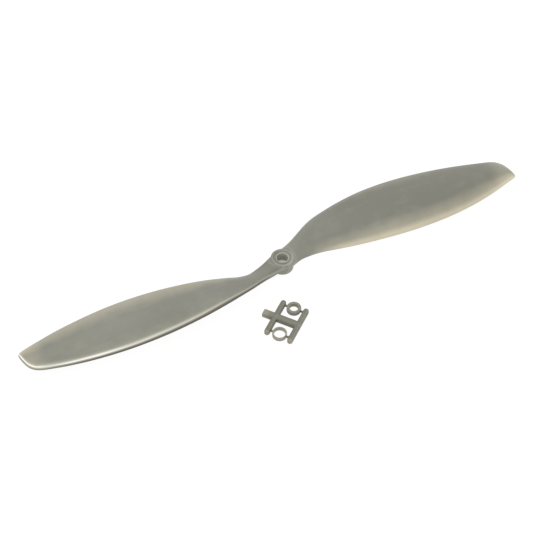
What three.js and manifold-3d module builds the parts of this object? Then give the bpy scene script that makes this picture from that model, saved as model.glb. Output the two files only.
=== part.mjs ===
// Two-blade slow-flyer propeller for a model aircraft, with its sprue of two shaft adapter rings.
//
// Millimetres. The origin is the centre of the hub's back face, +Z runs forward along the shaft
// and +X runs along blade_a. The leading edges are the raised ones, so the propeller turns
// anticlockwise seen from the front and pulls towards +Z. Hub and blades are one moulding on the
// real object, split here into its hub and its two blades by a narrow gap at each root.

import * as THREE from "three";
import { mergeVertices } from "three/addons/utils/BufferGeometryUtils.js";
import Module from "manifold-3d";

const wasm = await Module();
wasm.setup();

// Driving dimensions.
const HUB_RADIUS = 6.35;
const HUB_HEIGHT = 7.6;
const SHAFT_BORE_RADIUS = 3.175;
const RING_OUTER_RADIUS = 3.97;
const RING_HEIGHT = 2.5;
const RING_CHAMFER = 0.2;
const WIDE_RING_BORE_RADIUS = 3.175;
const NARROW_RING_BORE_RADIUS = 2.38;
const GAP = 0.3;

// Hub details: the front face has a raised rim, a shallow ring groove and a raised collar.
const FACE_GROOVE_INNER_RADIUS = 3.85;
const FACE_GROOVE_OUTER_RADIUS = 4.95;
const FACE_GROOVE_DEPTH = 0.5;
const HUB_EDGE_ROUND = 0.35;
const BORE_MOUTH_CHAMFER = 0.2;
const RING_SEAT_RADIUS = RING_OUTER_RADIUS + 0.03;
const RING_SEAT_DEPTH = RING_HEIGHT + 0.1;
const HUB_SEGMENTS = 48;

// Blade sections from the hub to the tip: distance from the shaft axis, leading and trailing edge
// as [y, z], and the thickness just behind the nose.
const BLADE_STATIONS = [
  { radius: 1.5, lead: [6.3, 5.8], trail: [-6.2, 4.7], thickness: 4.8 },
  { radius: 5, lead: [7.3, 6.2], trail: [-5.4, 4.4], thickness: 4.8 },
  { radius: 8, lead: [8.1, 6.8], trail: [-4.2, 4.0], thickness: 4.6 },
  { radius: 11, lead: [9.1, 7.8], trail: [-3.2, 3.4], thickness: 4.3 },
  { radius: 15, lead: [10.4, 9.4], trail: [-2.4, 2.4], thickness: 4.0 },
  { radius: 20, lead: [12.3, 11.0], trail: [-1.9, 1.4], thickness: 3.6 },
  { radius: 26, lead: [14.3, 11.8], trail: [-2.9, 1.5], thickness: 3.2 },
  { radius: 32, lead: [15.7, 12.0], trail: [-4.9, 2.1], thickness: 2.9 },
  { radius: 45, lead: [18.1, 12.0], trail: [-8.6, 3.2], thickness: 2.5 },
  { radius: 60, lead: [19.8, 11.6], trail: [-11.7, 3.9], thickness: 2.2 },
  { radius: 78, lead: [20.2, 10.5], trail: [-14.2, 4.3], thickness: 2.1 },
  { radius: 98, lead: [18.8, 9.0], trail: [-15.2, 4.5], thickness: 1.9 },
  { radius: 116, lead: [16.0, 7.8], trail: [-14.3, 4.6], thickness: 1.7 },
  { radius: 130, lead: [12.8, 7.0], trail: [-12.5, 5.0], thickness: 1.5 },
  { radius: 139, lead: [10.2, 6.7], trail: [-10.7, 5.3], thickness: 1.3 },
  { radius: 144, lead: [8.6, 6.6], trail: [-9.6, 5.5], thickness: 1.2 },
  { radius: 147.5, lead: [6.7, 6.4], trail: [-8.8, 5.6], thickness: 1.1 },
  { radius: 150, lead: [3.8, 6.1], trail: [-8.2, 5.5], thickness: 1.0 },
  { radius: 151.6, lead: [-0.4, 5.8], trail: [-7.6, 5.4], thickness: 0.9 },
  { radius: 152.4, lead: [-4.3, 5.5], trail: [-6.6, 5.4], thickness: 0.8 },
];
const SECTIONS_PER_STATION = 2;
const NOSE_LENGTH_IN_HALF_THICKNESSES = 1.6;
const TAIL_THICKNESS_SHARE = 0.32;
const LEAST_TAIL_THICKNESS = 0.5;
const FULL_CAMBER = 0.045;
const CAMBER_START_RADIUS = 8;
const CAMBER_FULL_RADIUS = 45;
const NOSE_ANGLES = [90, 55, 20, -20, -55, -90];
const CHORD_STEPS = [0.18, 0.4, 0.65, 0.85, 1];

// Sprue: a main bar with two round-ended cross-bars. The two rings lie between the cross-bars, one
// on each side of the main bar, each held by two thin gates. In the sprue's own frame the main bar
// runs along X and the cross-bars along Y.
const SPRUE_CENTRE = [-17.7, -34.3];
const SPRUE_ANGLE = -52.8;
const BAR_HEIGHT = 2.6;
const MAIN_BAR_WIDTH = 3.6;
const MAIN_BAR_START = -11.8;
const CROSS_BAR_WIDTH = 2.6;
const CROSS_BARS_X = [-4.8, 8.6];
const CROSS_BAR_Y = [-12, 11.7];
const NARROW_RING_AT = [1.8, 9.6];
const WIDE_RING_AT = [1.8, -9.0];
const GATE_WIDTH = 0.9;
const GATE_HEIGHT = 0.9;

const nylon = () => new THREE.MeshStandardMaterial({ color: 0x8f8e80, roughness: 0.45, metalness: 0 });

// Closed solids to and from the boolean library.
function toSolid(geometry) {
  const bare = geometry.clone();
  bare.deleteAttribute("normal");
  bare.deleteAttribute("uv");
  const merged = mergeVertices(bare, 1e-4);
  const vertProperties = new Float32Array(merged.attributes.position.array);
  const triVerts = new Uint32Array(merged.index.array);
  return new wasm.Manifold(new wasm.Mesh({ numProp: 3, vertProperties, triVerts }));
}

function fromSolid(solid) {
  const mesh = solid.getMesh();
  const geometry = new THREE.BufferGeometry();
  geometry.setAttribute("position", new THREE.BufferAttribute(new Float32Array(mesh.vertProperties), 3));
  geometry.setIndex(new THREE.BufferAttribute(new Uint32Array(mesh.triVerts), 1));
  geometry.computeVertexNormals();
  return geometry;
}

// A closed profile of [radius, height] pairs, outer wall first going up, turned about Z.
function turned(profile, segments) {
  const closed = [...profile, profile[0]].map(([radius, height]) => new THREE.Vector2(radius, height));
  return new THREE.LatheGeometry(closed, segments).rotateX(Math.PI / 2);
}

function hubGeometry() {
  const top = HUB_HEIGHT;
  const floor = top - FACE_GROOVE_DEPTH;
  return turned([
    [HUB_RADIUS - HUB_EDGE_ROUND, 0],
    [HUB_RADIUS, HUB_EDGE_ROUND],
    [HUB_RADIUS, top - HUB_EDGE_ROUND],
    [HUB_RADIUS - HUB_EDGE_ROUND, top],
    [FACE_GROOVE_OUTER_RADIUS + 0.15, top],
    [FACE_GROOVE_OUTER_RADIUS - 0.15, floor],
    [FACE_GROOVE_INNER_RADIUS + 0.15, floor],
    [FACE_GROOVE_INNER_RADIUS - 0.1, top],
    [SHAFT_BORE_RADIUS + BORE_MOUTH_CHAMFER, top],
    [SHAFT_BORE_RADIUS, top - BORE_MOUTH_CHAMFER],
    [SHAFT_BORE_RADIUS, RING_SEAT_DEPTH],
    [RING_SEAT_RADIUS, RING_SEAT_DEPTH],
    [RING_SEAT_RADIUS, 0],
  ], HUB_SEGMENTS);
}

// One blade section as a loop of points: from the tail forward over the front face, round the
// blunt nose and back under the blade to the tail.
function bladeSection(lead, trail, thickness) {
  const chord = trail.clone().sub(lead).setX(0);
  const length = chord.length();
  const along = chord.normalize();
  const across = new THREE.Vector3(0, along.z, -along.y);
  const nose = Math.min((NOSE_LENGTH_IN_HALF_THICKNESSES * thickness) / 2, 0.45 * length);
  const tail = Math.max(TAIL_THICKNESS_SHARE * thickness, LEAST_TAIL_THICKNESS);
  const camber = FULL_CAMBER * THREE.MathUtils.smoothstep(lead.x, CAMBER_START_RADIUS, CAMBER_FULL_RADIUS);
  const point = (distance, height) => {
    const share = distance / length;
    const arch = 4 * camber * length * share * (1 - share);
    const place = lead.clone().lerp(trail, share);
    return place.addScaledVector(across, arch + height);
  };
  const flank = (step, side) => {
    const half = (tail + (thickness - tail) * (1 - step ** 1.3)) / 2;
    return point(nose + (length - nose) * step, side * half);
  };
  const rounding = NOSE_ANGLES.map((degrees) => {
    const angle = THREE.MathUtils.degToRad(degrees);
    return point(nose * (1 - Math.cos(angle)), (Math.sin(angle) * thickness) / 2);
  });
  const front = CHORD_STEPS.map((step) => flank(step, 1)).reverse();
  const back = CHORD_STEPS.map((step) => flank(step, -1));
  return [...front, ...rounding, ...back];
}

// A closed skin over a row of section loops, with a flat cap at each end.
function loft(loops) {
  const size = loops[0].length;
  const last = loops.length - 1;
  const positions = loops.flat().flatMap((point) => point.toArray());
  const indices = [];
  for (let row = 0; row < last; row += 1) {
    for (let i = 0; i < size; i += 1) {
      const j = (i + 1) % size;
      const a = row * size + i;
      const b = row * size + j;
      indices.push(a, a + size, b, b, a + size, b + size);
    }
  }
  for (let i = 0; i < size / 2 - 1; i += 1) {
    const quad = [i, i + 1, size - 2 - i, size - 1 - i];
    const corners = new Set(quad).size === 4 ? [[0, 1, 2], [0, 2, 3]] : [[0, 1, 3]];
    for (const [p, q, r] of corners) {
      indices.push(quad[p], quad[q], quad[r]);
      indices.push(last * size + quad[p], last * size + quad[r], last * size + quad[q]);
    }
  }
  const geometry = new THREE.BufferGeometry();
  geometry.setAttribute("position", new THREE.Float32BufferAttribute(positions, 3));
  geometry.setIndex(indices);
  return geometry;
}

// A blade along +X, with its root cut to clear the hub.
function bladeGeometry() {
  const edge = (name) => new THREE.CatmullRomCurve3(
    BLADE_STATIONS.map((station) => new THREE.Vector3(station.radius, ...station[name])),
  );
  const leading = edge("lead");
  const trailing = edge("trail");
  const last = BLADE_STATIONS.length - 1;
  const count = last * SECTIONS_PER_STATION;
  const loops = [];
  for (let i = 0; i <= count; i += 1) {
    const station = (i / count) * last;
    const here = Math.min(Math.floor(station), last - 1);
    const thickness = THREE.MathUtils.lerp(
      BLADE_STATIONS[here].thickness,
      BLADE_STATIONS[here + 1].thickness,
      station - here,
    );
    loops.push(bladeSection(leading.getPoint(i / count), trailing.getPoint(i / count), thickness));
  }
  const clearance = new THREE.CylinderGeometry(HUB_RADIUS + GAP, HUB_RADIUS + GAP, 40, HUB_SEGMENTS);
  return fromSolid(toSolid(loft(loops)).subtract(toSolid(clearance.rotateX(Math.PI / 2))));
}

// A bar standing on the table: an outline of the given width along X or Y, with square or round ends.
function bar(start, end, width, roundEnds) {
  const half = width / 2;
  const outline = new THREE.Shape();
  if (roundEnds) {
    outline.absarc(0, end - half, half, 0, Math.PI);
    outline.absarc(0, start + half, half, Math.PI, 2 * Math.PI);
  } else {
    outline.moveTo(half, start).lineTo(half, end).lineTo(-half, end).lineTo(-half, start);
  }
  return new THREE.ExtrudeGeometry(outline, { depth: BAR_HEIGHT, bevelEnabled: false, curveSegments: 8 });
}

function gate(fromX, toX, y) {
  const size = [Math.abs(toX - fromX), GATE_WIDTH, GATE_HEIGHT];
  return new THREE.BoxGeometry(...size).translate((fromX + toX) / 2, y, (BAR_HEIGHT - GATE_HEIGHT) / 2);
}

function runnerGeometry() {
  let solid = toSolid(bar(-CROSS_BARS_X[1], -MAIN_BAR_START, MAIN_BAR_WIDTH, false).rotateZ(Math.PI / 2));
  for (const x of CROSS_BARS_X) {
    solid = solid.add(toSolid(bar(...CROSS_BAR_Y, CROSS_BAR_WIDTH, true).translate(x, 0, 0)));
  }
  for (const [ringX, ringY] of [NARROW_RING_AT, WIDE_RING_AT]) {
    const reach = RING_OUTER_RADIUS + GAP;
    solid = solid.add(toSolid(gate(CROSS_BARS_X[0], ringX - reach, ringY)));
    solid = solid.add(toSolid(gate(ringX + reach, CROSS_BARS_X[1], ringY)));
  }
  return fromSolid(solid);
}

function ringGeometry(boreRadius) {
  return turned([
    [RING_OUTER_RADIUS - RING_CHAMFER, 0],
    [RING_OUTER_RADIUS, RING_CHAMFER],
    [RING_OUTER_RADIUS, RING_HEIGHT - RING_CHAMFER],
    [RING_OUTER_RADIUS - RING_CHAMFER, RING_HEIGHT],
    [boreRadius + RING_CHAMFER, RING_HEIGHT],
    [boreRadius, RING_HEIGHT - RING_CHAMFER],
    [boreRadius, RING_CHAMFER],
    [boreRadius + RING_CHAMFER, 0],
  ], HUB_SEGMENTS);
}

function named(name, geometry) {
  const mesh = new THREE.Mesh(geometry, nylon());
  mesh.name = name;
  return mesh;
}

const hub = named("hub", hubGeometry());
const bladeA = named("blade_a", bladeGeometry());
const bladeB = named("blade_b", bladeGeometry());
bladeB.rotation.z = Math.PI;

const sprue = new THREE.Group();
sprue.position.set(...SPRUE_CENTRE, 0);
sprue.rotation.z = THREE.MathUtils.degToRad(SPRUE_ANGLE);
const narrowRing = named("adapter_ring_narrow_bore", ringGeometry(NARROW_RING_BORE_RADIUS));
narrowRing.position.set(...NARROW_RING_AT, 0);
const wideRing = named("adapter_ring_wide_bore", ringGeometry(WIDE_RING_BORE_RADIUS));
wideRing.position.set(...WIDE_RING_AT, 0);
sprue.add(named("sprue_runner", runnerGeometry()), narrowRing, wideRing);

const propeller = new THREE.Group();
propeller.add(hub, bladeA, bladeB, sprue);
export default propeller;
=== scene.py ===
"""Two-blade slow-flyer propeller and its loose sprue of two shaft adapter rings.

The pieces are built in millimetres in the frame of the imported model, and scaled to metres when each
is finished. The floor, the lights and the camera are placed in metres.
"""

import math

import bmesh
import bpy
import numpy as np
from mathutils import Matrix, Vector
from mathutils.bvhtree import BVHTree

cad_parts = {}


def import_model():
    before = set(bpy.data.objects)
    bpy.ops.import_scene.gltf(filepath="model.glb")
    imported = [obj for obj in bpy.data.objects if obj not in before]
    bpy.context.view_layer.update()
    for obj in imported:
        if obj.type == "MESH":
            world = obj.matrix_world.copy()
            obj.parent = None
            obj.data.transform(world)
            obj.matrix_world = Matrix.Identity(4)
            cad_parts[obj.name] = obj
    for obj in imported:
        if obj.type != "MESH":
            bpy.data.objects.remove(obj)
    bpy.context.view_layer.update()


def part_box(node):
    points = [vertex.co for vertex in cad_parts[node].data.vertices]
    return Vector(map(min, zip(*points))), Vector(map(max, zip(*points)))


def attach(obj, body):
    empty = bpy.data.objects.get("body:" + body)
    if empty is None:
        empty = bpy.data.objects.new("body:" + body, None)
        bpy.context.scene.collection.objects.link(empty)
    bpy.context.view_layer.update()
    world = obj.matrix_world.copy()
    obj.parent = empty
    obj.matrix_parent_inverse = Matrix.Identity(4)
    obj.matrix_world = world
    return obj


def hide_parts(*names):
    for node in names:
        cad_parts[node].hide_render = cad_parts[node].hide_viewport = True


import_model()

MM = 0.001


def middle_of(node):
    """The middle of a CAD node's box, in millimetres."""
    low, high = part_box(node)
    return np.array((low + high) / 2) / MM


HUB_RADIUS, _, HUB_TOP = np.array(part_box("hub")[1]) / MM
TIP_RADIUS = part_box("blade_a")[1].x / MM

# Hub.
BORE_RADIUS = 3.175
SEAT_RADIUS = 4.0
SEAT_DEPTH = 2.6
GROOVE_DEPTH = 0.5
RIDGE_HEIGHT = 5.5
RIDGE_SWING = 0.5
HUB_SEGMENTS = 160
FILLET = 0.9
MERGE_GAP = 0.01

# Blade sections from inside the hub to the tip: distance from the shaft axis, leading and trailing
# edge as [y, z], and the thickness just behind the nose. The edges are rounded results of a fit to
# the blades' outlines, changed at both ends. The distances and thicknesses were chosen.
BLADE_STATIONS = [
    (-1.5, (5.3, 5.6), (-5.0, 4.9), 4.6),
    (1.5, (6.3, 5.8), (-6.2, 4.7), 4.8),
    (5, (7.3, 6.2), (-5.4, 4.4), 4.8),
    (8, (8.1, 6.8), (-4.2, 4.0), 4.6),
    (11, (9.1, 7.8), (-3.2, 3.4), 4.3),
    (15, (10.4, 9.4), (-2.4, 2.4), 4.0),
    (20, (12.3, 11.0), (-1.9, 1.4), 3.6),
    (26, (14.3, 11.8), (-2.9, 1.5), 3.2),
    (32, (15.7, 12.0), (-4.9, 2.1), 2.9),
    (45, (18.1, 12.0), (-8.6, 3.2), 2.5),
    (60, (19.8, 11.6), (-11.7, 3.9), 2.2),
    (78, (20.2, 10.5), (-14.2, 4.3), 2.1),
    (98, (18.8, 9.0), (-15.2, 4.5), 1.9),
    (116, (16.0, 7.8), (-14.3, 4.6), 1.7),
    (130, (12.8, 7.0), (-12.5, 5.0), 1.5),
    (139, (10.2, 6.7), (-10.7, 5.3), 1.3),
    (144, (8.6, 6.6), (-9.6, 5.5), 1.2),
    (147.5, (6.7, 6.4), (-8.8, 5.6), 1.1),
    (150, (3.8, 6.1), (-8.2, 5.5), 1.0),
    (151.6, (-0.4, 5.8), (-7.6, 5.4), 0.9),
    (152.4, (-4.3, 5.5), (-6.6, 5.4), 0.8),
]
SECTIONS_PER_STATION = 10
NOSE_STEPS = 8
FLANK_STEPS = 22
TAIL_STEPS = 3
NOSE_IN_THICKNESSES = 0.8
LONGEST_NOSE_SHARE = 0.45
TAIL_THICKNESS_SHARE = 0.32
LEAST_TAIL_THICKNESS = 0.5
FULL_CAMBER = 0.045
CAMBER_START_RADIUS = 8
CAMBER_FULL_RADIUS = 45
TIP_ROUNDING = 0.6

# Sprue, in its own frame: the main bar runs along X and the cross-bars along Y. Its place, angle and
# bars come from a fit too, some then adjusted. The rings have standard diameters.
SPRUE_CENTRE = (-17.7, -34.3)
SPRUE_ANGLE = math.radians(-52.8)
BAR_HEIGHT = 2.6
MAIN_BAR_WIDTH = 3.6
MAIN_BAR_X = (-11.8, 9.4)
CROSS_BAR_WIDTH = 2.6
CROSS_BARS_X = (-4.8, 8.6)
CROSS_BAR_Y = (-12, 11.7)
MAIN_BAR_ROUNDING = 0.35
CROSS_BAR_ROUNDING = 0.7
RING_RADIUS = 3.97
RING_BORE_RADII = {"narrow": 2.38, "wide": 3.175}
RING_EDGE = 0.18
RINGS_AT = {"narrow": (1.8, 9.6), "wide": (1.8, -9.0)}
GATE_SIZE = 0.9
GATE_GAP = 0.02
SPRUE_VOXEL = 0.16
SPRUE_SMOOTHING = 4
SPRUE_SWELL = 0.22

# Colours of the nylon in the thick; painted light, paler and warmer, where light would come through
# thin nylon; a painted highlight, a pale line along an edge; and painted shade, a dark underside.
CORE = (0.165, 0.166, 0.133)
SPRUE_CORE = (0.142, 0.143, 0.105)
RING_CORE = (0.17, 0.164, 0.128)
PAINTED_GLOW_COLOUR = (0.62, 0.56, 0.4)
PAINTED_HIGHLIGHT_COLOUR = (0.95, 0.93, 0.82)
SHADED = (0.10, 0.082, 0.055)
# Painted light through each ring, painted light at the sprue's bar ends, painted highlight streaks along its
# bars and painted shade on their sides.
RING_PAINTED_GLOW = {"narrow": 0.08, "wide": 0.28}
SPRUE_END_PAINTED_GLOW = 0.3
SPRUE_STREAK_PAINTED_HIGHLIGHT = 0.035
SPRUE_SIDE_SHADE = 0.18

# Fine texture of the nylon: noise scales per metre, then the depth and strength of the bump.
STREAK_SCALE = 220
MOTTLE_SCALE = 140
GRAIN_SCALE = 2600
GRAIN_DEPTH = 0.03
GRAIN_STRENGTH = 0.35
NYLON_IOR = 1.53

# Floor: half its side in metres, its drop below the part, how brightly it shines, and a painted
# shadow, a darker spot under the hub that shows through the shaft bore.
FLOOR_HALF_SIDE = 4.0
FLOOR_DROP = 0.02
FLOOR_REFLECTANCE = 0.08
FLOOR_LIGHT = 0.95
PAINTED_SHADOW_EMISSION = 0.36
PAINTED_SHADOW_RADIUS = 3.5

# Lights: name, azimuth and elevation in degrees, distance and size in metres, and radiance.
SOFTBOXES = [
    ("overhead", 0, 96, 1.0, (1.2, 0.45), 1.2),
    ("far_side", 24, 30, 1.2, (1.4, 0.5), 1.2),
]
WORLD_LIGHT = 0.95

# Camera, from a fit as well: angles in degrees, distance from its aim, aim from the middle of the
# hub, and its lens.
CAMERA_AZIMUTH = -28.6
CAMERA_ELEVATION = 50.95
CAMERA_ROLL = 0.9
CAMERA_DISTANCE = 673
CAMERA_AIM = (-8.7, 2.25, -1.6)
CAMERA_LENS = 81.86
SENSOR_WIDTH = 36


# Mesh helpers.
def smoothstep(low, high, value):
    share = np.clip((np.asarray(value, float) - low) / (high - low), 0, 1)
    return share * share * (3 - 2 * share)


def bump_at(value, centre, width):
    return np.exp(-(((value - centre) / width) ** 2))


def make_object(name, vertices, faces):
    mesh = bpy.data.meshes.new(name)
    mesh.from_pydata([tuple(v) for v in vertices], [], faces)
    obj = bpy.data.objects.new(name, mesh)
    bpy.context.scene.collection.objects.link(obj)
    return obj


def coordinates(mesh):
    values = np.empty(len(mesh.vertices) * 3)
    mesh.vertices.foreach_get("co", values)
    return values.reshape(-1, 3)


def set_coordinates(mesh, values):
    mesh.vertices.foreach_set("co", np.ascontiguousarray(values).ravel())
    mesh.update()


def normals_of(mesh):
    values = np.empty(len(mesh.vertices) * 3)
    mesh.vertex_normals.foreach_get("vector", values)
    return values.reshape(-1, 3)


def set_values(mesh, name, values):
    """Stores one number per vertex for the materials to read."""
    layer = mesh.attributes.new(name, "FLOAT", "POINT")
    layer.data.foreach_set("value", np.asarray(values, dtype=np.float32))


def apply_modifiers(obj):
    seen = obj.evaluated_get(bpy.context.evaluated_depsgraph_get())
    mesh = bpy.data.meshes.new_from_object(seen)
    obj.modifiers.clear()
    obj.data = mesh


def combine(obj, operation, *others):
    """Joins the other solids to this one, or cuts them from it, and removes them."""
    for other in others:
        modifier = obj.modifiers.new(operation, "BOOLEAN")
        modifier.operation = operation
        modifier.solver = "MANIFOLD"
        modifier.object = other
    apply_modifiers(obj)
    for other in others:
        bpy.data.objects.remove(other)


def merge_close(mesh, gap):
    """Merges the vertices that a boolean leaves on top of each other."""
    merged = bmesh.new()
    merged.from_mesh(mesh)
    bmesh.ops.remove_doubles(merged, verts=merged.verts, dist=gap)
    bmesh.ops.dissolve_degenerate(merged, edges=merged.edges, dist=gap)
    merged.to_mesh(mesh)
    merged.free()


def grid_faces(rows, columns):
    """Quads over a grid whose columns close on themselves."""
    faces = []
    for row in range(rows - 1):
        for column in range(columns):
            after = (column + 1) % columns
            a = row * columns
            faces.append((a + column, a + after, a + columns + after, a + columns + column))
    return faces


def revolve(name, profile, segments, radius_at=None):
    """A solid turned about Z from [radius, height] pairs that go up from the axis and back to it."""
    inner = np.array(profile[1:-1], dtype=float)
    angles = np.arange(segments) * 2 * math.pi / segments
    radii = np.repeat(inner[:, :1], segments, axis=1)
    heights = np.repeat(inner[:, 1:], segments, axis=1)
    if radius_at:
        radii = radius_at(radii, heights, angles)
    points = np.stack([radii * np.cos(angles), radii * np.sin(angles), heights], axis=2).reshape(-1, 3)
    faces = grid_faces(len(inner), segments)
    bottom, top = len(points), len(points) + 1
    last = (len(inner) - 1) * segments
    for i in range(segments):
        j = (i + 1) % segments
        faces.append((bottom, j, i))
        faces.append((top, last + i, last + j))
    ends = [(0, 0, profile[0][1]), (0, 0, profile[-1][1])]
    return make_object(name, np.vstack([points, ends]), faces)


def ring_of(name, profile, segments):
    """A ring turned about Z from a closed profile of [radius, height] pairs, outer wall going up."""
    loop = np.array(profile, dtype=float)
    angles = np.arange(segments) * 2 * math.pi / segments
    points = [
        (radius * math.cos(angle), radius * math.sin(angle), height)
        for radius, height in loop
        for angle in angles
    ]
    faces = grid_faces(len(loop), segments)
    last = (len(loop) - 1) * segments
    for i in range(segments):
        j = (i + 1) % segments
        faces.append((last + i, last + j, j, i))
    return make_object(name, points, faces)


def arc(centre, radius, start, end, steps):
    """Points on an arc as [radius, height] pairs, angles in degrees."""
    return [
        (centre[0] + radius * math.cos(angle), centre[1] + radius * math.sin(angle))
        for angle in np.radians(np.linspace(start, end, steps + 1))
    ]


def finish_piece(obj, body, material, nodes, sharp=40):
    """Scales a piece to metres, shades it and hands it to the frame."""
    obj.data.transform(Matrix.Scale(MM, 4))
    obj.data.shade_smooth()
    obj.data.set_sharp_from_angle(angle=math.radians(sharp))
    obj.data.materials.clear()
    obj.data.materials.append(material)
    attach(obj, body)
    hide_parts(*nodes)


# Propeller.
def curve_through(points, steps):
    """A centripetal Catmull-Rom curve through the points, with the same steps in every span."""
    points = np.array(points, dtype=float)
    ends = 2 * points[0] - points[1], 2 * points[-1] - points[-2]
    points = np.vstack([ends[0], points, ends[1]])
    curve = []
    for i in range(1, len(points) - 2):
        before, start, end, after = points[i - 1 : i + 3]
        gaps = [np.linalg.norm(b - a) ** 0.5 for a, b in ((before, start), (start, end), (end, after))]
        out = (start - before) / gaps[0] - (end - before) / (gaps[0] + gaps[1]) + (end - start) / gaps[1]
        into = (end - start) / gaps[1] - (after - start) / (gaps[1] + gaps[2]) + (after - end) / gaps[2]
        out, into = out * gaps[1], into * gaps[1]
        for t in np.arange(steps) / steps:
            bend = (-3 * start + 3 * end - 2 * out - into) * t**2
            curve.append(start + out * t + bend + (2 * start - 2 * end + out + into) * t**3)
    return np.array([*curve, points[-2]])


LEADING = curve_through([(r, *lead) for r, lead, _, _ in BLADE_STATIONS], SECTIONS_PER_STATION)
TRAILING = curve_through([(r, *trail) for r, _, trail, _ in BLADE_STATIONS], SECTIONS_PER_STATION)
THICKNESS = curve_through([(r, thickness) for r, _, _, thickness in BLADE_STATIONS], SECTIONS_PER_STATION)


def nose_and_tail(length, thickness):
    """The length of a section's round nose, and the thickness of its tail."""
    nose = min(NOSE_IN_THICKNESSES * thickness, LONGEST_NOSE_SHARE * length)
    tail = max(TAIL_THICKNESS_SHARE * thickness, LEAST_TAIL_THICKNESS)
    return nose, tail


def camber_at(radius):
    """The share of the chord by which the mean line bulges, at a distance from the shaft axis."""
    return FULL_CAMBER * smoothstep(CAMBER_START_RADIUS, CAMBER_FULL_RADIUS, radius)


def half_thickness(distance, length, thickness):
    """Half the section's thickness at a distance behind the leading edge."""
    nose, tail = nose_and_tail(length, thickness)
    tail_start = length - 0.5 * tail
    share = np.clip((distance - nose) / (length - nose), 0, 1)
    half = (tail + (thickness - tail) * (1 - share**1.3)) / 2
    ahead = np.clip(1 - distance / nose, 0, 1)
    behind = np.clip((distance - tail_start) / (length - tail_start), 0, 1)
    return half * np.sqrt(1 - ahead**2) * np.sqrt(1 - behind**2)


def section(lead, trail, thickness):
    """A closed loop of points: from the tail over the front face, round the nose and back under."""
    chord = trail - lead
    chord[0] = 0
    length = np.linalg.norm(chord)
    across = np.array([0, chord[2], -chord[1]]) / length
    nose, tail = nose_and_tail(length, thickness)
    tail_start = length - 0.25 * tail
    nose_angles = np.linspace(0, math.pi / 2, NOSE_STEPS + 1)
    tail_angles = np.linspace(0, math.pi / 2, TAIL_STEPS + 1)[1:]
    round_nose = nose * (1 - np.cos(nose_angles))
    flank = np.linspace(nose, tail_start, FLANK_STEPS + 1)[1:]
    round_tail = tail_start + (length - tail_start) * np.sin(tail_angles)
    distance = np.concatenate([round_nose, flank, round_tail])
    share = (distance / length)[:, None]
    half = half_thickness(distance, length, thickness)[:, None]
    camber = camber_at(lead[0])
    line = lead + (trail - lead) * share + across * 4 * camber * length * share * (1 - share)
    front = line + across * half
    back = line - across * half
    return np.vstack([front[::-1], back[1:-1]])


def blade(name):
    """A closed skin through the sections of one blade, thinned to a round edge at the tip."""
    loops = []
    for lead, trail, (radius, thickness) in zip(LEADING, TRAILING, THICKNESS):
        past = max(0, (radius - (TIP_RADIUS - TIP_ROUNDING)) / TIP_ROUNDING)
        rounded = thickness * max(0.2, math.sqrt(max(0, 1 - past**2)))
        loops.append(section(lead, trail, rounded))
    size = len(loops[0])
    faces = [tuple(reversed(face)) for face in grid_faces(len(loops), size)]
    faces.append(tuple(range(size)))
    faces.append(tuple(reversed(range((len(loops) - 1) * size, len(loops) * size))))
    return make_object(name, np.vstack(loops), faces)


def fillet_rise(distance):
    """How far a fillet lifts one surface at a distance from the other."""
    share = np.clip(distance / FILLET, 0.25, 1)
    return FILLET * (1 - np.sqrt(share)) ** 2


def blend_root(blade_obj):
    """Lifts a blade's root towards the hub, and keeps it under the hub's rim."""
    mesh = blade_obj.data
    points = coordinates(mesh)
    reach = np.hypot(points[:, 0], points[:, 1])
    beyond = np.stack([reach - HUB_RADIUS, abs(points[:, 2] - HUB_TOP / 2) - HUB_TOP / 2])
    distance = np.hypot(*np.clip(beyond, 0, None))
    points = points + normals_of(mesh) * fillet_rise(distance)[:, None]
    ceiling = HUB_TOP - 0.3 + 1.1 * np.clip(reach - HUB_RADIUS + 0.1, 0, None)
    points[:, 2] -= np.clip(points[:, 2] - ceiling, 0, None)
    set_coordinates(mesh, points)


def ridge_height(angles):
    """Height of the parting ridge, which runs from one blade's leading edge to the other's tail."""
    return RIDGE_HEIGHT + RIDGE_SWING * np.sin(2 * angles)


def hub_wall(radii, heights, angles):
    """The hub's wall with the moulding's parting ridge and a hollow under it."""
    on_wall = smoothstep(HUB_RADIUS - 0.5, HUB_RADIUS - 0.1, radii)
    ridge = ridge_height(angles)
    shape = 0.22 * bump_at(heights, ridge, 0.35) + 0.18 * smoothstep(5.8, 6.8, heights)
    shape = shape - 0.35 * bump_at(heights, ridge - 1.6, 0.8)
    return radii + on_wall * shape


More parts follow.
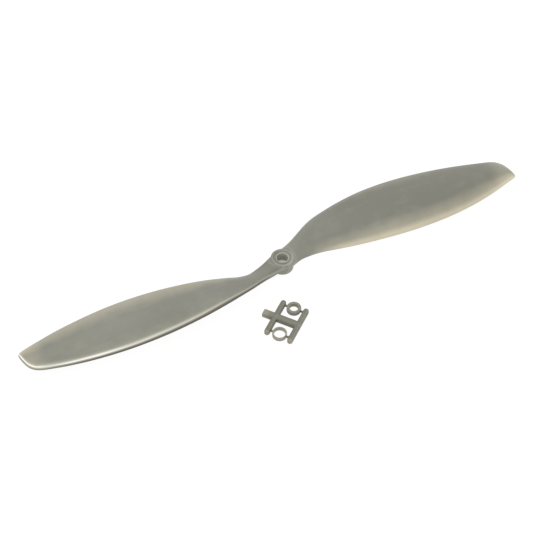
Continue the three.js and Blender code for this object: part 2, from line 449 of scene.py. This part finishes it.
def hub_body(blades):
    """The hub without its bore, its wall raised where it meets the blades."""
    rim = [(5.0, HUB_TOP - 0.12), (5.5, HUB_TOP - 0.01), (5.85, HUB_TOP)]
    wall = [(HUB_RADIUS, height) for height in np.arange(0.6, HUB_TOP - 0.4, 0.16)]
    profile = [
        (0, 0),
        (2, 0),
        (5.8, 0),
        *arc((HUB_RADIUS - 0.45, 0.45), 0.45, -90, 0, 5),
        *wall,
        *arc((HUB_RADIUS - 0.35, HUB_TOP - 0.35), 0.35, 0, 80, 6),
        *reversed(rim),
        (0, HUB_TOP - 0.12),
    ]
    hub = revolve("hub_body", profile, HUB_SEGMENTS, hub_wall)
    points = coordinates(hub.data)
    reach = np.hypot(points[:, 0], points[:, 1])
    nearest = np.full(len(points), 1e9)
    for blade_obj in blades:
        corners = [vertex.co for vertex in blade_obj.data.vertices]
        tree = BVHTree.FromPolygons(corners, [tuple(face.vertices) for face in blade_obj.data.polygons])
        for i in np.nonzero(reach > HUB_RADIUS - 0.6)[0]:
            place, normal, _, distance = tree.find_nearest(Vector(points[i]))
            inside = (Vector(points[i]) - place).dot(normal) < 0
            nearest[i] = min(nearest[i], 0 if inside else distance)
    rise = fillet_rise(nearest) * (1 - smoothstep(HUB_TOP - 1.0, HUB_TOP - 0.2, points[:, 2]))
    rise *= reach > HUB_RADIUS - 0.6
    points[:, :2] *= (1 + rise / np.maximum(reach, 1))[:, None]
    set_coordinates(hub.data, points)
    return hub


def hub_cutter():
    """The shaft bore, the ring seat in the back, and the groove and collar in the front face."""
    floor = HUB_TOP - GROOVE_DEPTH
    profile = [
        (0, -1),
        (SEAT_RADIUS + 0.2, -1),
        (SEAT_RADIUS + 0.2, 0),
        (SEAT_RADIUS, 0.2),
        (SEAT_RADIUS, SEAT_DEPTH),
        (BORE_RADIUS + 0.1, SEAT_DEPTH),
        (BORE_RADIUS, SEAT_DEPTH + 0.1),
        (BORE_RADIUS, HUB_TOP - 0.6),
        *arc((BORE_RADIUS + 0.25, HUB_TOP - 0.3), 0.25, 180, 90, 6),
        *arc((3.78, HUB_TOP - 0.22), 0.17, 90, 0, 4),
        (4.05, floor + 0.1),
        *arc((4.25, floor + 0.15), 0.15, 215, 270, 3),
        (4.65, floor),
        *arc((4.75, floor + 0.2), 0.2, 285, 340, 4),
        (5.15, HUB_TOP - 0.05),
        (5.25, HUB_TOP + 0.5),
        (0, HUB_TOP + 0.5),
    ]
    return revolve("hub_cutter", profile, HUB_SEGMENTS)


def blade_coordinates(points):
    """Distance behind the leading edge, chord, height over the mean line, and thickness, per point."""
    turned = points * np.where(points[:, :1] < 0, [[-1, -1, 1]], [[1, 1, 1]])
    radius = turned[:, 0]
    lead = np.stack([np.interp(radius, LEADING[:, 0], LEADING[:, axis]) for axis in (1, 2)], axis=1)
    trail = np.stack([np.interp(radius, TRAILING[:, 0], TRAILING[:, axis]) for axis in (1, 2)], axis=1)
    chord = trail - lead
    length = np.linalg.norm(chord, axis=1)
    along = chord / length[:, None]
    offset = turned[:, 1:] - lead
    distance = np.sum(offset * along, axis=1)
    height = offset[:, 0] * along[:, 1] - offset[:, 1] * along[:, 0]
    share = np.clip(distance / length, 0, 1)
    height = height - 4 * camber_at(radius) * length * share * (1 - share)
    thickness = np.interp(radius, THICKNESS[:, 0], THICKNESS[:, 1])
    return radius, distance, length, height, thickness


def shade_propeller(mesh):
    """Stores three values per vertex, which mix painted light and shade into the nylon's colour.

    The first is painted light where light would come through thin nylon, stronger on one blade than
    the other. The second is a painted highlight: a pale line along a leading edge, the pale rim, wall
    and ridge of the hub, the top of the bore and parts of the blades. The third is painted shade: the
    dark underside of the edges, the depth of the bore and parts of the blades.
    """
    points = coordinates(mesh)
    radius, distance, length, height, thickness = blade_coordinates(points)
    share = np.clip(distance / length, 0, 1)
    on_b = points[:, 0] < 0
    root = 1 - smoothstep(20, 50, radius)

    # Painted light where light would come through thin nylon: along the trailing edge, much stronger on one
    # blade, along the leading edge, at the tip, and round the mouth of the bore.
    outer = smoothstep(12, 40, radius)
    back_edge = np.where(on_b, 0.3, 0.38) * smoothstep(0.6, 0.95, share)
    back_edge += np.where(on_b, 0.05, 0.5) * smoothstep(0.86, 0.98, share)
    front_reach = np.where(on_b, 0.5, 0.2)
    front_edge = (1 - smoothstep(0.02, front_reach, share)) * smoothstep(20, 60, radius)
    front_edge *= np.where(on_b, 1, 1 - smoothstep(98, 118, radius))
    tip = smoothstep(135, 152, radius)
    reach = np.hypot(points[:, 0], points[:, 1])
    mouth = smoothstep(HUB_TOP - 1.2, HUB_TOP - 0.3, points[:, 2]) * bump_at(reach, 3.4, 0.45)
    tail_painted_glow = 0.12 * smoothstep(115, 140, radius) * smoothstep(0.5, 0.8, share)
    painted_glow = back_edge * outer + 0.08 * front_edge + 0.25 * tip + np.where(on_b, 0, tail_painted_glow)
    set_values(mesh, "painted_glow", np.clip(painted_glow + 0.13 * mouth, 0, 1))

    # Painted highlight: a paler hub, paler on the near side of its rim, on its wall and along its ridge, a
    # pale top of the bore, and paler parts of both blades.
    near = 0.5 - 0.5 * points[:, 1] / np.maximum(reach, 0.1)
    top = smoothstep(HUB_TOP - 0.6, HUB_TOP - 0.2, points[:, 2])
    in_hub = 1 - smoothstep(7, 9, reach)
    wall = (1 - top) * smoothstep(5.5, 6.2, reach)
    rim = 0.09 * near * top * bump_at(reach, 5.6, 0.7)
    painted_light = in_hub * (0.04 + rim + np.where(on_b, 0.05, 0.03) * wall)
    painted_light += 0.13 * smoothstep(HUB_TOP - 5, HUB_TOP - 0.5, points[:, 2]) * (1 - smoothstep(3.6, 3.8, reach))
    painted_light += in_hub * 0.05 * bump_at(points[:, 2], ridge_height(np.arctan2(points[:, 1], points[:, 0])), 0.3)
    front_half = (1 - smoothstep(0.5, 0.8, share)) * smoothstep(70, 100, radius)
    painted_light += np.where(on_b, 0.045 * front_half, 0.05 * root)
    # Painted highlight: a pale line just behind the leading edge, strong on one blade and faint on the
    # other.
    inner = 1 - smoothstep(18, 50, radius)
    upper = smoothstep(0.1 - 0.2 * inner, 0.3 - 0.25 * inner, height / thickness)
    centre = 1.4 - 1.2 * inner - 0.12 * smoothstep(80, 98, radius)
    sweep = np.interp(radius, LEADING[:, 0], np.gradient(LEADING[:, 1], LEADING[:, 0]))
    from_edge = distance / np.hypot(1, sweep)
    line = 0.75 * bump_at(from_edge, centre, 0.38)
    line += 0.17 * bump_at(from_edge, centre + 0.5, 1.0) * (1 - inner)
    strength = 0.3 * smoothstep(0, 6, radius) + 0.4 * smoothstep(20, 90, radius)
    strength += 0.4 * smoothstep(96, 118, radius) + 0.25 * smoothstep(118, 140, radius)
    line = np.where(on_b, 1.0, 0.06) * upper * line * strength
    set_values(mesh, "painted_highlight", np.clip(line + painted_light, 0, 1))

    # Painted shade: a dark underside along the nose, a darker root on one blade and a darker middle on the
    # other, and the dark depth of the bore.
    limit = 0.42 - 0.3 * inner
    front = (1 - smoothstep(limit - 0.16, limit, height / thickness)) * (1 - smoothstep(0.6, 1.2, from_edge))
    front *= smoothstep(11, 20, radius) * (1 - 0.7 * smoothstep(115, 145, radius))
    dim_root = 0.22 * root * smoothstep(6.3, 8, reach)
    dim_middle = 0.1 * smoothstep(60, 100, radius) * (1 - tip)
    dim = np.where(on_b, dim_root, dim_middle)
    bore = (1 - smoothstep(3.6, 3.8, reach)) * (1 - smoothstep(HUB_TOP - 4.2, HUB_TOP - 1.5, points[:, 2]))
    set_values(mesh, "shaded", np.clip(front + dim + 0.45 * bore, 0, 1))


def propeller():
    """The hub and both blades in one moulding, with small fillets where they meet."""
    blade_a, blade_b = blade("blade_a_skin"), blade("blade_b_skin")
    blade_b.data.transform(Matrix.Rotation(math.pi, 4, "Z"))
    hub = hub_body([blade_a, blade_b])
    blend_root(blade_a)
    blend_root(blade_b)
    combine(hub, "UNION", blade_a, blade_b)
    combine(hub, "DIFFERENCE", hub_cutter())
    merge_close(hub.data, MERGE_GAP)
    hub.name = "propeller_moulding"
    shade_propeller(hub.data)
    return hub


# Sprue.
def sprue_to_frame():
    """Moves the sprue from its own frame to where it lies on the table."""
    place = Matrix.Translation((*SPRUE_CENTRE, 0))
    return place @ Matrix.Rotation(SPRUE_ANGLE, 4, "Z")


def rounded_bar(name, outline, rounding):
    """A bar standing on the table, its outline shrinking round a quarter circle at both faces."""
    outline = np.array(outline, dtype=float)
    ahead, behind = np.roll(outline, -1, axis=0), np.roll(outline, 1, axis=0)
    tangent = ahead - behind
    normal = np.stack([tangent[:, 1], -tangent[:, 0]], axis=1)
    normal /= np.linalg.norm(normal, axis=1)[:, None]
    angles = np.linspace(0, math.pi / 2, 7)
    low = [(rounding * (1 - math.sin(a)) * 0.4, rounding * (1 - math.cos(a)) * 0.4) for a in angles]
    high = [(rounding * (1 - math.cos(a)), BAR_HEIGHT - rounding * (1 - math.sin(a))) for a in angles]
    layers = [
        np.column_stack([outline - normal * inset, np.full(len(outline), z)])
        for inset, z in low + high
    ]
    size = len(outline)
    faces = grid_faces(len(layers), size)
    faces.append(tuple(reversed(range(size))))
    faces.append(tuple(range((len(layers) - 1) * size, len(layers) * size)))
    return make_object(name, np.vstack(layers), faces)


def stadium(x, start, end, width):
    """The outline of a round-ended bar along Y."""
    half = width / 2
    return [
        *[(x + px, py) for px, py in arc((0, end - half), half, 0, 180, 16)],
        *[(x + px, py) for px, py in arc((0, start + half), half, 180, 360, 16)],
    ]


def gate(name, bar_x, ring_x, y):
    """A thin square gate that narrows from its bar to its ring."""
    middle = BAR_HEIGHT / 2
    shares = (0.7, 0.5, 0.32)
    layers = []
    for x, share in zip((bar_x, 0.5 * (bar_x + ring_x), ring_x), shares):
        half = share * GATE_SIZE
        ring = [(x, y + half * a, middle - 0.2 + half * b) for a, b in ((-1, -1), (1, -1), (1, 1), (-1, 1))]
        layers.append(ring if ring_x > bar_x else ring[::-1])
    faces = [tuple(reversed(face)) for face in grid_faces(3, 4)]
    return make_object(name, np.vstack(layers), [*faces, (0, 1, 2, 3), (11, 10, 9, 8)])


def sprue_runner():
    """The main bar, both cross-bars and the four gates, softened into one moulding."""
    half = MAIN_BAR_WIDTH / 2
    start, end = MAIN_BAR_X
    main = [(start, -half), (end, -half), (end, half), (start, half)]
    runner = rounded_bar("sprue_runner_moulding", main, MAIN_BAR_ROUNDING)
    bars = [
        rounded_bar("cross_bar", stadium(x, *CROSS_BAR_Y, CROSS_BAR_WIDTH), CROSS_BAR_ROUNDING)
        for x in CROSS_BARS_X
    ]
    gates = []
    for ring_x, ring_y in RINGS_AT.values():
        gates.append(gate("gate", CROSS_BARS_X[0], ring_x - RING_RADIUS - GATE_GAP, ring_y))
        gates.append(gate("gate", CROSS_BARS_X[1], ring_x + RING_RADIUS + GATE_GAP, ring_y))
    combine(runner, "UNION", *bars, *gates)
    remesh = runner.modifiers.new("remesh", "REMESH")
    remesh.mode = "VOXEL"
    remesh.voxel_size = SPRUE_VOXEL
    smooth = runner.modifiers.new("smooth", "SMOOTH")
    smooth.iterations = SPRUE_SMOOTHING
    swell = runner.modifiers.new("swell", "DISPLACE")
    swell.strength = SPRUE_SWELL
    swell.mid_level = 0
    apply_modifiers(runner)
    points = coordinates(runner.data)
    points[:, 2] -= points[:, 2].min()
    set_coordinates(runner.data, points)
    shade_sprue(runner.data)
    runner.data.transform(sprue_to_frame())
    return runner


def shade_sprue(mesh):
    """Stores the values that mix painted light and shade into the nylon's colour: painted light at the ends,
    painted highlight streaks along the bars, and painted shade on the sides.
    """
    points = coordinates(mesh)
    along, across = points[:, 0], points[:, 1]
    ends = 1 - smoothstep(CROSS_BAR_Y[0], CROSS_BAR_Y[0] + 2.2, across)
    ends += 1 - smoothstep(MAIN_BAR_X[0], MAIN_BAR_X[0] + 5.5, along)
    set_values(mesh, "painted_glow", SPRUE_END_PAINTED_GLOW * ends)
    first, second = CROSS_BARS_X
    highlight_stripes = bump_at(along, first + 0.6, 0.5) + 1.5 * bump_at(along, second + 1.0, 0.7)
    set_values(mesh, "painted_highlight", SPRUE_STREAK_PAINTED_HIGHLIGHT * (highlight_stripes + bump_at(across, -0.2, 0.8)))
    up = normals_of(mesh)[:, 2]
    set_values(mesh, "shaded", SPRUE_SIDE_SHADE * (1 - smoothstep(0.2, 0.9, up)))


def adapter_ring(kind):
    """A ring with rounded edges, as high as its CAD node and where that node is."""
    node = f"adapter_ring_{kind}_bore"
    low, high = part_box(node)
    height = (high.z - low.z) / MM
    outside = RING_RADIUS - RING_EDGE
    inside = RING_BORE_RADII[kind] + RING_EDGE
    profile = [
        *arc((outside, RING_EDGE), RING_EDGE, -90, 0, 5),
        *arc((outside, height - RING_EDGE), RING_EDGE, 0, 90, 5),
        *arc((inside, height - RING_EDGE), RING_EDGE, 90, 180, 5),
        *arc((inside, RING_EDGE), RING_EDGE, 180, 270, 5),
    ]
    ring = ring_of(node + "_moulding", profile, 96)
    centre = middle_of(node)
    ring.data.transform(Matrix.Translation((centre[0], centre[1], 0)))
    # Painted light, even over the ring, where light would come through its thin nylon.
    set_values(ring.data, "painted_glow", np.full(len(ring.data.vertices), RING_PAINTED_GLOW[kind]))
    for unused in ("painted_highlight", "shaded"):
        set_values(ring.data, unused, np.zeros(len(ring.data.vertices)))
    return ring


# Materials.
def nylon(name, core, painted_glow_colour, streak_stretch):
    """Satin glass-filled nylon: darker where thick, with painted light, lighter and warmer, where light
    would come through, and a painted highlight and painted shade mixed into its colour.
    """
    material = bpy.data.materials.new(name)
    material.use_nodes = True
    nodes, links = material.node_tree.nodes, material.node_tree.links
    shader = nodes["Principled BSDF"]
    place = nodes.new("ShaderNodeTexCoord")

    def noise(scale, detail, stretch=(1, 1, 1)):
        mapping = nodes.new("ShaderNodeMapping")
        mapping.inputs["Scale"].default_value = stretch
        links.new(place.outputs["Object"], mapping.inputs["Vector"])
        texture = nodes.new("ShaderNodeTexNoise")
        texture.inputs["Scale"].default_value = scale
        texture.inputs["Detail"].default_value = detail
        links.new(mapping.outputs["Vector"], texture.inputs["Vector"])
        return texture.outputs["Fac"]

    def ranged(value, low, high):
        node = nodes.new("ShaderNodeMapRange")
        node.inputs["From Min"].default_value = 0.3
        node.inputs["From Max"].default_value = 0.7
        node.inputs["To Min"].default_value = low
        node.inputs["To Max"].default_value = high
        links.new(value, node.inputs["Value"])
        return node.outputs["Result"]

    def attribute(called):
        node = nodes.new("ShaderNodeAttribute")
        node.attribute_name = called
        return node.outputs["Fac"]

    def math_node(operation, a, b):
        node = nodes.new("ShaderNodeMath")
        node.operation = operation
        for socket, value in zip(node.inputs, (a, b)):
            if isinstance(value, (int, float)):
                socket.default_value = value
            else:
                links.new(value, socket)
        return node.outputs["Value"]

    def mix(factor, a, b):
        node = nodes.new("ShaderNodeMix")
        node.data_type = "RGBA"
        links.new(factor, node.inputs["Factor"])
        for socket, value in ((node.inputs["A"], a), (node.inputs["B"], b)):
            if isinstance(value, tuple):
                socket.default_value = (*value, 1)
            else:
                links.new(value, socket)
        return node.outputs["Result"]

    streaks = noise(STREAK_SCALE, 4, streak_stretch)
    mottle = noise(MOTTLE_SCALE, 5)
    grain = noise(GRAIN_SCALE, 3)
    # Painted light where light would come through thin nylon, varied at random by mottle and streaks; then
    # random darker grain, a painted highlight and painted shade.
    painted_glow = math_node("ADD", attribute("painted_glow"), ranged(mottle, -0.04, 0.04))
    painted_glow = math_node("ADD", painted_glow, ranged(streaks, -0.035, 0.035))
    colour = mix(painted_glow, core, painted_glow_colour)
    speckled = mix(ranged(grain, 0, 0.12), colour, tuple(0.8 * c for c in core))
    with_painted_highlight = mix(attribute("painted_highlight"), speckled, PAINTED_HIGHLIGHT_COLOUR)
    with_painted_shade = mix(attribute("shaded"), with_painted_highlight, SHADED)
    links.new(with_painted_shade, shader.inputs["Base Color"])
    links.new(ranged(streaks, 0.38, 0.5), shader.inputs["Roughness"])
    shader.inputs["IOR"].default_value = NYLON_IOR

    bump = nodes.new("ShaderNodeBump")
    bump.inputs["Strength"].default_value = GRAIN_STRENGTH
    bump.inputs["Distance"].default_value = GRAIN_DEPTH * MM
    links.new(math_node("ADD", grain, streaks), bump.inputs["Height"])
    links.new(bump.outputs["Normal"], shader.inputs["Normal"])
    return material


def floor_material():
    """A floor that shines evenly, but for a painted shadow, a darker spot under the hub."""
    material = bpy.data.materials.new("pale_floor")
    material.use_nodes = True
    shader = material.node_tree.nodes["Principled BSDF"]
    grey = (FLOOR_REFLECTANCE, FLOOR_REFLECTANCE, FLOOR_REFLECTANCE, 1)
    shader.inputs["Base Color"].default_value = grey
    shader.inputs["Roughness"].default_value = 1.0
    shader.inputs["Specular IOR Level"].default_value = 0.0
    shader.inputs["Emission Color"].default_value = (1, 1, 1, 1)
    nodes, links = material.node_tree.nodes, material.node_tree.links
    place = nodes.new("ShaderNodeTexCoord")
    reach = nodes.new("ShaderNodeVectorMath")
    reach.operation = "LENGTH"
    level = nodes.new("ShaderNodeMapRange")
    level.inputs["From Min"].default_value = PAINTED_SHADOW_RADIUS * MM
    level.inputs["From Max"].default_value = HUB_RADIUS * MM
    level.inputs["To Min"].default_value = PAINTED_SHADOW_EMISSION
    level.inputs["To Max"].default_value = FLOOR_LIGHT
    links.new(place.outputs["Object"], reach.inputs[0])
    links.new(reach.outputs["Value"], level.inputs["Value"])
    links.new(level.outputs["Result"], shader.inputs["Emission Strength"])
    return material


# Studio.
def floor():
    """A white table top that shows only a trace of shadow and throws no light back up."""
    side = FLOOR_HALF_SIDE
    corners = [(-side, -side), (side, -side), (side, side), (-side, side)]
    plane = make_object("floor", [(x, y, -FLOOR_DROP * MM) for x, y in corners], [(0, 1, 2, 3)])
    plane.data.materials.append(floor_material())
    plane.visible_diffuse = False
    plane.visible_glossy = False
    plane.visible_shadow = False


def softbox(name, azimuth, elevation, distance, size, radiance):
    """A soft light at an azimuth (0 is the far side, +Y) and elevation in degrees, aimed at the hub."""
    turn, rise = math.radians(azimuth), math.radians(elevation)
    towards = Vector((math.sin(turn) * math.cos(rise), math.cos(turn) * math.cos(rise), math.sin(rise)))
    light = bpy.data.lights.new(name, "AREA")
    light.shape = "RECTANGLE"
    light.size, light.size_y = size
    light.energy = radiance * math.pi * size[0] * size[1]
    obj = bpy.data.objects.new(name, light)
    obj.location = towards * distance
    obj.rotation_euler = towards.to_track_quat("Z", "Y").to_euler()
    bpy.context.scene.collection.objects.link(obj)


def world():
    """Even white light from all round."""
    sky = bpy.data.worlds.new("studio")
    sky.use_nodes = True
    background = sky.node_tree.nodes["Background"]
    background.inputs["Color"].default_value = (1, 1, 1, 1)
    background.inputs["Strength"].default_value = WORLD_LIGHT
    bpy.context.scene.world = sky


def studio():
    """The floor, the light all round and the softboxes."""
    floor()
    world()
    bpy.context.scene.view_settings.view_transform = "Standard"
    for settings in SOFTBOXES:
        softbox(*settings)


def camera():
    """Looks down past the near side of the hub, from the left of the shaft."""
    azimuth, elevation, roll = map(math.radians, (CAMERA_AZIMUTH, CAMERA_ELEVATION, CAMERA_ROLL))
    aim = Vector(middle_of("hub") + CAMERA_AIM) * MM
    forward = Vector((
        -math.sin(azimuth) * math.cos(elevation),
        math.cos(azimuth) * math.cos(elevation),
        -math.sin(elevation),
    ))
    data = bpy.data.cameras.new("camera")
    data.sensor_width = SENSOR_WIDTH
    data.lens = CAMERA_LENS
    obj = bpy.data.objects.new("camera", data)
    obj.location = aim - forward * (CAMERA_DISTANCE * MM)
    right = Vector((math.cos(azimuth), math.sin(azimuth), 0))
    up = right.cross(forward)
    turned_right = right * math.cos(roll) + up * math.sin(roll)
    turned_up = up * math.cos(roll) - right * math.sin(roll)
    obj.matrix_world = Matrix.Translation(obj.location) @ Matrix(
        (turned_right, turned_up, -forward)
    ).transposed().to_4x4()
    bpy.context.scene.collection.objects.link(obj)
    bpy.context.scene.camera = obj


camera()
studio()
finish_piece(
    propeller(),
    "propeller",
    nylon("propeller_nylon_look", CORE, PAINTED_GLOW_COLOUR, (0.12, 1, 1)),
    ["hub", "blade_a", "blade_b"],
)
finish_piece(
    sprue_runner(),
    "ring_sprue",
    nylon("sprue_nylon_look", SPRUE_CORE, PAINTED_GLOW_COLOUR, (0.5, 0.5, 1)),
    ["sprue_runner"],
)
ring_look = nylon("ring_nylon_look", RING_CORE, PAINTED_GLOW_COLOUR, (1, 1, 1))
for kind in RINGS_AT:
    finish_piece(
        adapter_ring(kind),
        f"{kind}_bore_ring",
        ring_look,
        [f"adapter_ring_{kind}_bore"],
    )
